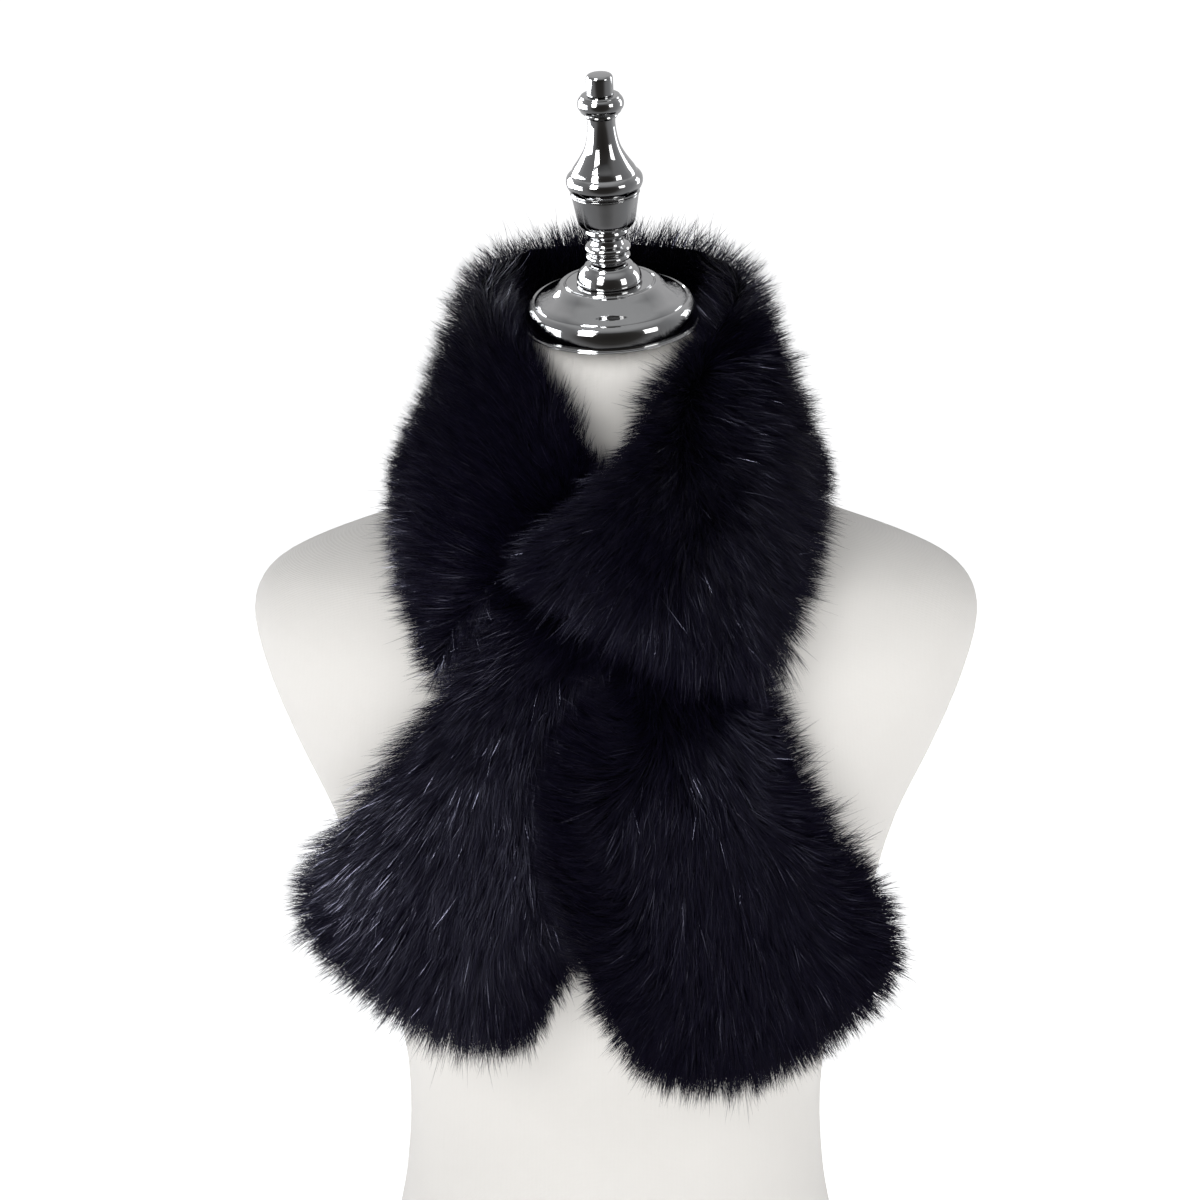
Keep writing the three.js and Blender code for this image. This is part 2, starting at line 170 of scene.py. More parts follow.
# Round the back the tips point in three dimensions.
LIE_BACK = table("x y z dx dy dz", [
    (-98, 20, 600, -0.9, 0.1, 0.5), (-60, 50, 655, -0.7, 0.2, 0.8), (-25, 62, 660, -0.3, 0.1, 1),
    (25, 62, 660, 0.5, 0.1, 0.9), (65, 50, 655, 0.6, 0.2, 0.8), (98, 20, 600, 0.9, 0.1, 0.3),
    (-100, 70, 540, -0.5, 0.6, -0.2), (0, 118, 600, 0.8, 0.1, -0.3), (0, 125, 540, 0.6, 0.2, -0.8),
    (95, 75, 540, 0.8, 0.3, -0.5), (-60, 105, 590, 0.6, 0.4, 0.1), (65, 105, 590, 0.9, -0.2, -0.2),
    (0, 50, 620, 0.1, -0.4, 0.9), (-45, 30, 620, -0.6, -0.3, 0.8), (45, 30, 620, 0.8, -0.1, 0.5),
])

# Where the pile is fuller or thinner than elsewhere: a place in millimetres, how far it reaches, and how
# many times the usual length the strands have there.
FULLNESS = table("x y z reach times", [
    (85, 20, 640, 30, 1.1), (30, 60, 665, 30, 1.25), (-60, 55, 660, 25, 0.85),
    (118, 20, 528, 34, 0.85), (-122, 20, 535, 34, 0.85),
    (-15, -85, 560, 26, 0.7), (8, -80, 575, 22, 0.7), (-35, -50, 615, 26, 0.8), (42, -45, 625, 26, 0.8),
    (-55, -110, 500, 26, 1.25), (0, -120, 478, 30, 1.35), (40, -122, 462, 30, 1.35),
    (75, -118, 452, 26, 1.3),
    (-120, -105, 420, 34, 1.3), (-165, -100, 355, 28, 1.15), (-90, -105, 250, 34, 1.25),
    (-30, -110, 275, 26, 0.75), (-12, -125, 285, 26, 0.75), (55, -125, 235, 34, 1.2),
    (-178, -100, 315, 26, 1.1), (0, -90, 495, 30, 1.2), (130, -100, 350, 30, 0.85),
    (155, -100, 300, 30, 0.85),
])

# Painted sheen: where light falls on the pile in a sheen, more of the strands are glint strands, which are
# glossier and also paler in colour. A place in millimetres, how far it reaches, and their share there.
PAINTED_SHEEN = table("x y z reach share", [
    (-112, -60, 515, 42, 0.5), (-80, -105, 495, 26, 0.65), (-72, -108, 468, 24, 0.45),
    (-112, -20, 580, 40, 0.3),
    (-145, -105, 345, 36, 0.4), (-110, -105, 400, 28, 0.3), (-26, -115, 344, 22, 0.2),
    (58, -120, 461, 24, 0.12),
    (-12, -110, 425, 16, 0.2), (110, -60, 545, 30, 0.12), (-70, 20, 650, 34, 0.3), (-25, 45, 655, 24, 0.3),
    (80, 0, 635, 34, 0.12), (30, 45, 650, 26, 0.15),
])

# Where the pile stands up: a place in millimetres, how far it reaches, and how much steeper it stands.
UPRIGHT = table("x y z reach rise", [
    (76, 12, 640, 36, 1.2), (-80, 12, 640, 32, 0.7), (72, -25, 605, 30, 0.8), (58, -45, 580, 26, 0.6),
    (25, 60, 655, 30, 0.5), (48, -28, 620, 24, 1.0),
])

# Half outlines of the turned metal in millimetres: distance from the axis, then height above the cap.
TURNED = {
    "cap_disc": [
        (0, 0), (44.4, 0), (45.6, 1.2), (46.3, 4), (46.3, 7.4), (45.3, 10.4), (43.4, 12.5), (41.9, 13.3),
        (41.2, 12.7), (40.5, 13.5), (38.6, 14.9), (35, 16.6), (31.4, 18.8), (28.6, 21.2), (26.6, 22.6),
        (25.2, 22.8), (24.4, 22.2), (23.6, 22.8), (21, 23), (0, 23),
    ],
    "cap_dome": [
        (0, 23.3), (17, 23.3), (17.6, 24.3), (17.2, 26.6), (15.9, 29.4), (13.6, 31.8), (11, 33.5), (0, 34),
    ],
    "finial_rings": [
        (0, 34.3), (9.4, 34.3), (10, 35.5), (11.6, 36.4), (11.9, 37.7), (11.4, 38.8), (10.4, 39.6),
        (10.7, 40.6), (12, 41.4), (12.2, 42.6), (11.4, 43.8), (9.4, 44.6), (8.6, 46.4), (8.7, 48.4),
        (10.7, 50), (11.4, 51.4), (10.9, 52.8), (9.6, 53.4), (0, 53.4),
    ],
    "finial_cup": [
        (0, 53.7), (11, 53.7), (13.3, 54.6), (15, 56.6), (15.9, 60), (16.9, 66), (17.8, 71.4),
        (17.8, 72.6), (17, 73.4), (0, 73.4),
    ],
    "finial_bell": [
        (0, 73.7), (16.8, 73.7), (18.2, 74.6), (19.8, 77.2), (20.4, 79.6), (20, 82), (18.6, 83.8),
        (17.6, 84.6), (16.4, 87), (14.2, 90.2), (11.9, 93.8), (9.8, 97.8), (8.5, 102), (7.7, 106.5),
        (7.3, 110.5), (7.3, 114.4), (0, 114.4),
    ],
    "finial_band": [(0, 114.7), (8.2, 114.7), (8.8, 115.9), (8.2, 117.1), (0, 117.1)],
    "finial_bulb": [
        (0, 117.4), (9.4, 117.4), (11, 118.8), (12.1, 120.6), (12.3, 122.4), (11.8, 124.4), (10.6, 126),
        (9, 127), (0, 127),
    ],
    "finial_button": [
        (0, 127.3), (7.1, 127.3), (7.1, 135.4), (6.6, 137.2), (5.4, 138), (2.8, 138.4), (0, 138.5),
    ],
}
CAP_CENTRE_MM = Vector((-2.6, -12, 622.9))
NECK_LEAN = math.radians(8.6)
CAP_SIDE_LEAN = math.radians(2.8)
TURNED_SEGMENTS = 72
SHARP_TURN = math.radians(50)  # an outline's corner sharper than this stays a corner
LONG_STEP_MM = 6  # an outline's straight runs from this length on aren't divided
CURVE_STEPS = 4
FLOOR_HALF = 30


# Materials


def new_material(name):
    material = bpy.data.materials.new(name)
    material.use_nodes = True
    return material, material.node_tree, material.node_tree.nodes["Principled BSDF"]


def add_node(tree, kind, **settings):
    node = tree.nodes.new(kind)
    for key, value in settings.items():
        if key in node.inputs:
            node.inputs[key].default_value = value
        else:
            setattr(node, key, value)
    return node


def ramp(tree, stops, fac):
    node = tree.nodes.new("ShaderNodeValToRGB")
    for i, (at, colour) in enumerate(stops):
        stop = node.color_ramp.elements[i] if i < 2 else node.color_ramp.elements.new(at)
        stop.position = at
        stop.color = (*colour, 1)
    tree.links.new(fac, node.inputs["Fac"])
    return node.outputs["Color"]


def pile_material(name, brightness, specular, root_gloss, tip_gloss):
    """Strand colour by place: U runs from root to tip, and V picks the strand's shade."""
    material, tree, shader = new_material(name)
    uv = add_node(tree, "ShaderNodeUVMap", uv_map="OFBake")
    split = tree.nodes.new("ShaderNodeSeparateXYZ")
    tree.links.new(uv.outputs["UV"], split.inputs[0])
    along = ramp(tree, [
        (0.0, [brightness * c for c in (0.4, 0.32, 1.1)]),
        (0.6, [brightness * c for c in (0.9, 0.72, 2.4)]),
        (1.0, [brightness * c for c in (1.4, 1.15, 3.3)]),
    ], split.outputs["X"])
    shade = ramp(tree, [
        (0.0, (0.3, 0.28, 0.35)),
        (0.5, (0.7, 0.68, 0.75)),
        (0.9, (1.0, 1.0, 1.0)),
        (0.95, (1.0, 0.75, 0.6)),
    ], split.outputs["Y"])
    mix = add_node(tree, "ShaderNodeMix", data_type="RGBA", blend_type="MULTIPLY")
    mix.inputs["Factor"].default_value = 1
    tree.links.new(along, mix.inputs[6])
    tree.links.new(shade, mix.inputs[7])
    tree.links.new(mix.outputs[2], shader.inputs["Base Color"])
    gloss = ramp(tree, [(0.0, (root_gloss,) * 3), (1.0, (tip_gloss,) * 3)], split.outputs["X"])
    tree.links.new(gloss, shader.inputs["Roughness"])
    shader.inputs["Specular IOR Level"].default_value = specular
    shader.inputs["Specular Tint"].default_value = (0.78, 0.77, 1, 1)
    return material


def ground_material():
    material, tree, shader = new_material("fur_ground")
    noise = add_node(tree, "ShaderNodeTexNoise", Scale=900, Detail=3)
    stops = [(0.3, (0.0003, 0.0003, 0.0006)), (0.8, (0.001, 0.001, 0.0018))]
    colour = ramp(tree, stops, noise.outputs["Fac"])
    tree.links.new(colour, shader.inputs["Base Color"])
    bump = add_node(tree, "ShaderNodeBump", Strength=0.8, Distance=0.0008)
    tree.links.new(noise.outputs["Fac"], bump.inputs["Height"])
    tree.links.new(bump.outputs["Normal"], shader.inputs["Normal"])
    shader.inputs["Roughness"].default_value = 0.95
    shader.inputs["Specular IOR Level"].default_value = 0.02
    return material


def cloth_material():
    """Off-white plain weave: crossed fine waves, broken up by noise, with slubs and a soft unevenness."""
    material, tree, shader = new_material("form_linen")
    place = tree.nodes.new("ShaderNodeTexCoord")
    waves = []
    for direction in ("X", "Z"):
        wave = add_node(tree, "ShaderNodeTexWave", Scale=430, Distortion=1.2, Detail=2,
                        bands_direction=direction)
        wave.inputs["Detail Scale"].default_value = 2
        tree.links.new(place.outputs["Object"], wave.inputs["Vector"])
        waves.append(wave.outputs["Fac"])
    weave = add_node(tree, "ShaderNodeMath", operation="MAXIMUM")
    for i, wave in enumerate(waves):
        tree.links.new(wave, weave.inputs[i])
    slub = add_node(tree, "ShaderNodeTexNoise", Scale=160, Detail=4, Roughness=0.6)
    tree.links.new(place.outputs["Object"], slub.inputs["Vector"])
    height = add_node(tree, "ShaderNodeMath", operation="ADD")
    tree.links.new(weave.outputs[0], height.inputs[0])
    tree.links.new(slub.outputs["Fac"], height.inputs[1])
    bump = add_node(tree, "ShaderNodeBump", Strength=0.35, Distance=0.0003)
    tree.links.new(height.outputs[0], bump.inputs["Height"])
    tree.links.new(bump.outputs["Normal"], shader.inputs["Normal"])
    tone = add_node(tree, "ShaderNodeTexNoise", Scale=7, Detail=3)
    tree.links.new(place.outputs["Object"], tone.inputs["Vector"])
    soft = ramp(tree, [(0.3, (0.73, 0.71, 0.68)), (0.7, (0.765, 0.745, 0.715))], tone.outputs["Fac"])
    thread = ramp(tree, [(0.0, (0.93, 0.93, 0.93)), (0.6, (1, 1, 1))], weave.outputs[0])
    mix = add_node(tree, "ShaderNodeMix", data_type="RGBA", blend_type="MULTIPLY")
    mix.inputs["Factor"].default_value = 1
    tree.links.new(soft, mix.inputs[6])
    tree.links.new(thread, mix.inputs[7])
    tree.links.new(mix.outputs[2], shader.inputs["Base Color"])
    shader.inputs["Roughness"].default_value = 0.92
    shader.inputs["Specular IOR Level"].default_value = 0.1
    shader.inputs["Sheen Weight"].default_value = 0.15
    return material


def metal_material():
    """Polished plating with a little haze, faintly uneven in gloss and tone."""
    material, tree, shader = new_material("polished_plating")
    place = tree.nodes.new("ShaderNodeTexCoord")
    haze = add_node(tree, "ShaderNodeTexNoise", Scale=60, Detail=4)
    tree.links.new(place.outputs["Object"], haze.inputs["Vector"])
    gloss = ramp(tree, [(0.35, (0.045, 0.045, 0.045)), (0.75, (0.09, 0.09, 0.09))], haze.outputs["Fac"])
    tree.links.new(gloss, shader.inputs["Roughness"])
    colour = ramp(tree, [(0.3, (0.46, 0.46, 0.46)), (0.7, (0.51, 0.51, 0.51))], haze.outputs["Fac"])
    tree.links.new(colour, shader.inputs["Base Color"])
    shader.inputs["Metallic"].default_value = 1
    return material


def floor_material():
    material, tree, shader = new_material("pale_floor")
    shader.inputs["Base Color"].default_value = (0.8, 0.8, 0.8, 1)
    shader.inputs["Roughness"].default_value = 0.9
    shader.inputs["Specular IOR Level"].default_value = 0.1
    shader.inputs["Emission Color"].default_value = (1, 1, 1, 1)
    shader.inputs["Emission Strength"].default_value = 0.75
    return material


# Meshes


def mesh_object(name, verts, faces, material, smooth=True):
    mesh = bpy.data.meshes.new(name)
    mesh.from_pydata([tuple(v) for v in verts], [], [tuple(int(i) for i in f) for f in faces])
    mesh.polygons.foreach_set("use_smooth", [smooth] * len(mesh.polygons))
    mesh.materials.append(material)
    made = bpy.data.objects.new(name, mesh)
    bpy.context.scene.collection.objects.link(made)
    return made


def arrays(mesh):
    """A mesh's points, triangles and outward normals at the points."""
    verts = np.empty(len(mesh.vertices) * 3)
    mesh.vertices.foreach_get("co", verts)
    verts = verts.reshape(-1, 3)
    mesh.calc_loop_triangles()
    tris = np.empty(len(mesh.loop_triangles) * 3, np.int64)
    mesh.loop_triangles.foreach_get("vertices", tris)
    tris = tris.reshape(-1, 3)
    return verts, tris, point_normals(verts, tris)


def point_normals(verts, tris):
    a, b, c = (verts[tris[:, i]] for i in range(3))
    across = np.cross(b - a, c - a)
    normals = np.zeros_like(verts)
    for i in range(3):
        np.add.at(normals, tris[:, i], across)
    return unit(normals)


def unit(vectors):
    length = np.linalg.norm(vectors, axis=-1, keepdims=True)
    return vectors / np.maximum(length, 1e-12)


def evaluated_mesh(obj):
    """The mesh with its modifiers applied, as a copy of its own."""
    graph = bpy.context.evaluated_depsgraph_get()
    return bpy.data.meshes.new_from_object(obj.evaluated_get(graph))


def node_arrays(node):
    """A CAD node's points and triangles, with its double points joined."""
    verts, tris, _ = arrays(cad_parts[node].data)
    grid = np.round(verts / 1e-6).astype(np.int64)
    _, first, inverse = np.unique(grid, axis=0, return_index=True, return_inverse=True)
    tris = inverse.reshape(-1)[tris]
    whole = (tris[:, 0] != tris[:, 1]) & (tris[:, 1] != tris[:, 2]) & (tris[:, 2] != tris[:, 0])
    return verts[first], tris[whole]


def bvh(verts, tris):
    return BVHTree.FromPolygons([tuple(v) for v in verts], [tuple(int(i) for i in t) for t in tris])


def neighbours(tris, count):
    edges = np.concatenate([tris[:, [0, 1]], tris[:, [1, 2]], tris[:, [2, 0]]])
    edges = np.unique(np.sort(edges, axis=1), axis=0)
    degree = np.bincount(edges.ravel(), minlength=count)[:, None]
    return edges, np.maximum(degree, 1)


def smoothed(values, edges, degree, times):
    for _ in range(times):
        total = np.zeros_like(values)
        np.add.at(total, edges[:, 0], values[edges[:, 1]])
        np.add.at(total, edges[:, 1], values[edges[:, 0]])
        values = 0.5 * values + 0.5 * total / degree
    return values


def seam_plane(node, other):
    """The plane between two stretches: a point on it, and its normal towards the other one."""
    verts, tris = node_arrays(node)
    across_verts, across_tris = node_arrays(other)
    tree = bvh(across_verts, across_tris)
    near = np.array([v for v in verts if tree.find_nearest(Vector(v), SEAM_REACH)[0] is not None])
    middle = near.mean(0)
    normal = np.linalg.svd(near - middle)[2][2]
    ring = across_verts[np.linalg.norm(across_verts - middle, axis=1) < SEAM_SIDE]
    return middle, normal * np.sign(((ring - middle) @ normal).mean())


def largest_part(mesh):
    """Deletes all but the largest connected part of a bmesh."""
    left, parts = set(mesh.verts), []
    while left:
        part, edge = set(), [left.pop()]
        while edge:
            vert = edge.pop()
            part.add(vert)
            for link in vert.link_edges:
                other = link.other_vert(vert)
                if other in left:
                    left.discard(other)
                    edge.append(other)
        parts.append(part)
    keep = max(parts, key=len)
    bmesh.ops.delete(mesh, geom=[v for v in mesh.verts if v not in keep], context="VERTS")


def cut_at_seams(node, verts, faces):
    """The part of a core that belongs to one stretch, closed where it was cut, and its cut faces."""
    mesh = bmesh.new()
    made = [mesh.verts.new(v) for v in verts]
    for face in faces:
        mesh.faces.new([made[i] for i in face])
    planes = [seam_plane(node, other) for other in NEXT.get(node, [])]
    for middle, normal in planes:
        geometry = [*mesh.verts, *mesh.edges, *mesh.faces]
        cut = bmesh.ops.bisect_plane(
            mesh, geom=geometry, plane_co=middle - normal * SEAM_REACH / 8, plane_no=normal, clear_outer=True
        )
        bmesh.ops.holes_fill(mesh, edges=[e for e in cut["geom_cut"] if isinstance(e, bmesh.types.BMEdge)])
    largest_part(mesh)
    bmesh.ops.triangulate(mesh, faces=mesh.faces)
    bmesh.ops.recalc_face_normals(mesh, faces=mesh.faces)
    if mesh.calc_volume(signed=True) < 0:
        bmesh.ops.reverse_faces(mesh, faces=mesh.faces)
    mesh.verts.index_update()
    verts = np.array([tuple(v.co) for v in mesh.verts])
    tris = np.array([[v.index for v in f.verts] for f in mesh.faces])
    mesh.free()
    ends = np.zeros(len(tris), bool)
    for middle, normal in planes:
        away = np.abs((verts[tris] - middle) @ normal).max(1)
        ends |= away < SEAM_REACH / 4
    return verts, tris, ends


def ground_core(node):
    """The ground cloth inside a stretch of fur, remeshed evenly and drawn in below the pile."""
    solids = [node_arrays(name) for name in [node, *NEXT.get(node, [])]]
    offsets = np.cumsum([0] + [len(verts) for verts, _ in solids])
    made = mesh_object(
        f"{node}_ground",
        np.concatenate([verts for verts, _ in solids]),
        np.concatenate([tris + offset for (_, tris), offset in zip(solids, offsets)]),
        bpy.data.materials["fur_ground"],
    )
    remesh = made.modifiers.new("even", "REMESH")
    remesh.mode = "VOXEL"
    remesh.voxel_size = CORE_VOXEL
    mesh = evaluated_mesh(made)
    made.modifiers.clear()
    verts, tris, _ = arrays(mesh)
    edges, degree = neighbours(tris, len(verts))
    verts = smoothed(verts, edges, degree, 3)
    normals = point_normals(verts, tris)
    tree = bvh(verts, tris)
    depth = np.empty((len(verts), 1))
    for i, (v, n) in enumerate(zip(verts, normals)):
        inward = Vector(-n)
        hit = tree.ray_cast(Vector(v) + inward * MM, inward, THICKNESS_REACH)
        depth[i] = hit[3] + MM if hit[0] else THICKNESS_IF_OPEN
    depth = smoothed(np.minimum(CORE_DEPTH, CORE_SHARE * depth), edges, degree, 6)
    normals = smoothed(normals, edges, degree, 2)
    inner = verts - normals * depth
    core, core_tris, ends = cut_at_seams(node, inner, [tuple(p.vertices) for p in mesh.polygons])
    near = nearest_index(core, inner)

    old = made.data
    made.data = bpy.data.meshes.new(f"{node}_ground")
    made.data.from_pydata([tuple(v) for v in core], [], [tuple(int(i) for i in t) for t in core_tris])
    made.data.polygons.foreach_set("use_smooth", [True] * len(core_tris))
    made.data.materials.append(bpy.data.materials["fur_ground"])
    for unused in (old, mesh):
        bpy.data.meshes.remove(unused)
    return made, core, core_tris, normals[near], depth[near], ends


# The pile


def lie_at(node, points):
    """Where the tips point at each place, blended from the nearest rows of the lie tables."""
    if node == "wrap_back":
        at = np.array([(r["x"], r["y"], r["z"]) for r in LIE_BACK]) * MM
        way = unit(np.array([(r["dx"], r["dy"], r["dz"]) for r in LIE_BACK], float))
        place = points
    else:
        at = np.array([(r["x"], r["z"]) for r in LIE[node]]) * MM
        turn = np.radians([r["turn"] for r in LIE[node]])
        way = np.stack([np.cos(turn), np.zeros(len(turn)), np.sin(turn)], 1)
        place = points[:, [0, 2]]
    square = ((place[:, None, :] - at[None]) ** 2).sum(2) + LIE_SOFTNESS ** 2
    weight = square ** LIE_FALLOFF
    return unit(weight @ way)


def closeness(spot, points):
    """1 at the spot, falling smoothly to nothing beyond its reach."""
    place = np.array([spot["x"], spot["y"], spot["z"]]) * MM
    return np.exp(-((points - place) ** 2).sum(1, keepdims=True) / (spot["reach"] * MM) ** 2)


def fullness_at(points):
    times = np.ones((len(points), 1))
    for spot in FULLNESS:
        times *= spot["times"] ** closeness(spot, points)
    return times


def upright_at(points):
    return sum(spot["rise"] * closeness(spot, points) for spot in UPRIGHT)


# The share of glint strands: a few everywhere at random, and more at the painted sheen spots, where their
# paler colour stands in for light falling on the pile.
def glint_share_with_painted_sheen(points):
    share = np.full((len(points), 1), GLINT_SHARE)
    for spot in PAINTED_SHEEN:
        share = np.maximum(share, spot["share"] * closeness(spot, points))
    return share[:, 0]


def nearest_index(points, targets):
    tree = kdtree.KDTree(len(targets))
    for i, target in enumerate(targets):
        tree.insert(target, i)
    tree.balance()
    return np.array([tree.find(p)[1] for p in points])


def sample(tris, share, count):
    """Random faces, in proportion to share, and places in them."""
    face = rng.choice(len(tris), count, p=share / share.sum())
    u, v = rng.random(count), rng.random(count)
    flip = u + v > 1
    u[flip], v[flip] = 1 - u[flip], 1 - v[flip]
    return face, np.stack([1 - u - v, u, v], 1)


def spread(values, tris, face, place):
    return (values[tris[face]] * place[:, :, None]).sum(1)


def density(verts, tris, ends, form, others):
    """Face areas, less where the pile faces the form or lies between two stretches, and none on a cut."""
    a, b, c = (verts[tris[:, i]] for i in range(3))
    across = np.cross(b - a, c - a)
    area = np.linalg.norm(across, axis=1)
    middle = (a + b + c) / 3
    out = unit(across)
    for i, (m, n) in enumerate(zip(middle, out)):
        way = Vector(n)
        start = Vector(m) + way * MM
        reach = HIDDEN_REACH if abs(way.y) > EDGE_FACING else EDGE_REACH
        ahead = Vector((0, -1, 0)) if m[1] < 0 else Vector(unit(m * (1, 1, 0)))
        covered = any(t.ray_cast(start, way, reach)[0] and t.ray_cast(start, ahead)[0] for t in others)
        if covered or form.ray_cast(start, way, EDGE_REACH if m[2] > OPEN_HEIGHT else HIDDEN_REACH)[0]:
            area[i] *= HIDDEN_SHARE
    area[ends] = 0
    return area


def strand_points(node, root, normal, depth, length, bends):
    """Points along each strand: it leaves the ground cloth steeply, then bends over in the pile's lie."""
    count = len(root)
    tuft_count = max(count // TUFT_STRANDS, 1)
    tufts = rng.choice(count, tuft_count, replace=False)
    tuft = nearest_index(root, root[tufts])
    sway = rng.normal(0, TUFT_SWAY, (tuft_count, 3))
    stand = rng.uniform(*TUFT_STAND, tuft_count)
    growth = np.exp(rng.normal(0, TUFT_GROWTH, tuft_count))

    upright = upright_at(root)
    strand_sway = rng.normal(0, STRAND_SWAY, (count, 3))
    way = unit(lie_at(node, root) + (1 + upright) * (sway[tuft] + strand_sway))
    facing = (way * normal).sum(1, keepdims=True)
    flat = way - facing * normal
    rise = RISE + stand[tuft][:, None] + rng.normal(0, STRAND_STAND, (count, 1))
    rise = rise + RISE_FACING * np.maximum(facing, 0) + upright
    end_way = unit(flat + normal * rise)
    start_way = unit(START_STEEP * normal + START_LIE * end_way)
    reach = length * (THIN_LENGTH + (1 - THIN_LENGTH) * np.minimum(depth / CORE_DEPTH, 1))
    reach = reach * (1 - FACING_LOSS * np.maximum(facing, 0))
    reach = np.minimum(reach * growth[tuft][:, None] * fullness_at(root), LONGEST)
    bend = root + start_way * reach * BEND_AT
    tip = bend + end_way * reach * TIP_AT

    tuft_tip = tip[tufts][tuft]
    near = np.linalg.norm(tuft_tip - tip, axis=1, keepdims=True) < 3 * TUFT_SPACING
    pull = TUFT_PULL * rng.uniform(0.5, 1.3, (count, 1)) * near
    tip = tip + (tuft_tip - tip) * pull
    bend = bend + (bend[tufts][tuft] - bend) * pull * BEND_PULL
    proud = ((tip - root) * normal).sum(1, keepdims=True) - depth - PROUD_LIMIT
    low, high = np.array(cad_box[0]) - BOX_ROOM, np.array(cad_box[1]) + BOX_ROOM
    tip = np.clip(tip - normal * np.maximum(proud, 0), low, high)

    steps = np.linspace(0, 1, bends + 1)[:, None, None]
    return (1 - steps) ** 2 * root + 2 * steps * (1 - steps) * bend + steps ** 2 * tip


def ribbons(points, normal, width):
    """Tapered ribbons through the strands' points: their vertices, faces, UVs and materials.

    A ribbon's flat side looks away from the neck's axis, or towards it on the inner face of the collar.
    """
    rows, count = len(points) - 1, points.shape[1]
    along = unit(points[-1] - points[0])
    away = unit(points[0] * (1, 1, 0))
    outside = np.where((away * normal).sum(1, keepdims=True) > -0.2, 0.9, -0.5)
    side = unit(np.cross(along, normal + outside * away + rng.normal(0, RIBBON_TURN, (count, 3))))
    shade = rng.random(count)
    strip = np.floor(shade * TINT_ROWS) / TINT_ROWS
    verts = []
    for i in range(rows):
        half = 0.5 * width * (1 - TIP_NARROWING * i / rows)
        verts += [points[i] - side * half, points[i] + side * half]
    verts.append(points[rows])
    verts = np.stack(verts, 1).reshape(-1, 3)
    per = 2 * rows + 1
    tris, uvs = [], []
    for i in range(rows):
        a, b = 2 * i, 2 * i + 1
        u0, u1 = i / rows, (i + 1) / rows
        if i + 1 < rows:
            c, d = a + 2, b + 2
            tris += [(a, b, d), (a, d, c)]
            uvs += [((u0, 0), (u0, 1), (u1, 1)), ((u0, 0), (u1, 1), (u1, 0))]
        else:
            tris.append((a, b, a + 2))
            uvs.append(((u0, 0), (u0, 1), (u1, 0.5)))
    start = (np.arange(count) * per)[:, None, None]
    faces = (start + np.array(tris)[None]).reshape(-1, 3)
    uv = np.array(uvs, float)[None].repeat(count, 0)
    uv[..., 1] = strip[:, None, None] + (0.1 + 0.8 * uv[..., 1]) / TINT_ROWS
    # Glint strands, glossier and paler, are picked more often at the painted sheen spots.
    glint = (rng.random(count) < glint_share_with_painted_sheen(points[0])).astype(np.int32)
    return verts, faces, uv.reshape(-1, 2), glint.repeat(len(tris))


def pile_object(name, parts, materials):
    """One mesh from several arrays of ribbons, written without a loop over the strands."""
    offsets = np.cumsum([0] + [len(part[0]) for part in parts])
    verts = np.concatenate([part[0] for part in parts])
    faces = np.concatenate([part[1] + offset for part, offset in zip(parts, offsets)])
    uvs = np.concatenate([part[2] for part in parts])
    slots = np.concatenate([part[3] for part in parts])
    mesh = bpy.data.meshes.new(name)
    mesh.vertices.add(len(verts))
    mesh.vertices.foreach_set("co", verts.ravel())
    mesh.loops.add(faces.size)
    mesh.loops.foreach_set("vertex_index", faces.ravel().astype(np.int32))
    mesh.polygons.add(len(faces))
    mesh.polygons.foreach_set("loop_start", np.arange(0, faces.size, 3, dtype=np.int32))
    mesh.polygons.foreach_set("loop_total", np.full(len(faces), 3, np.int32))
    mesh.polygons.foreach_set("use_smooth", np.ones(len(faces), bool))
    mesh.polygons.foreach_set("material_index", slots)
    mesh.update(calc_edges=True)
    layer = mesh.uv_layers.new(name="OFBake")
    layer.data.foreach_set("uv", uvs.ravel())
    for material in materials:
        mesh.materials.append(material)
    made = bpy.data.objects.new(name, mesh)
    bpy.context.scene.collection.objects.link(made)
    return made


def grow_pile(node, core, form, others, materials):
    _, verts, tris, normals, depth, ends = core
    total = STRETCHES[node]["strands"]
    share = density(verts, tris, ends, form, others)
    parts = []
    for count, length, width, bends in (
        (int(total * (1 - GUARD_SHARE)), UNDER_LENGTH, UNDER_WIDTH, 2),
        (int(total * GUARD_SHARE), GUARD_LENGTH, GUARD_WIDTH, 3),
    ):
        face, place = sample(tris, share, count)
        root = spread(verts, tris, face, place)
        normal = unit(spread(normals, tris, face, place))
        deep = spread(depth, tris, face, place)
        lengths = length * rng.uniform(0.72, 1.1, (count, 1))
        lengths[rng.random(count) < STRAY_SHARE] *= STRAY_LENGTH
        points = strand_points(node, root, normal, deep, lengths, bends)
        parts.append(ribbons(points, normal, width * rng.uniform(0.7, 1.2, (count, 1))))
    return pile_object(f"{node}_pile", parts, materials)


# The form and the turned metal


def form_cloth(material):
    made = mesh_object("form_torso_cloth", *node_arrays("form_torso"), material)
    finer = made.modifiers.new("finer", "SUBSURF")
    finer.levels = finer.render_levels = 1
    mesh = evaluated_mesh(made)
    made.modifiers.clear()
    made.data = mesh
    return made


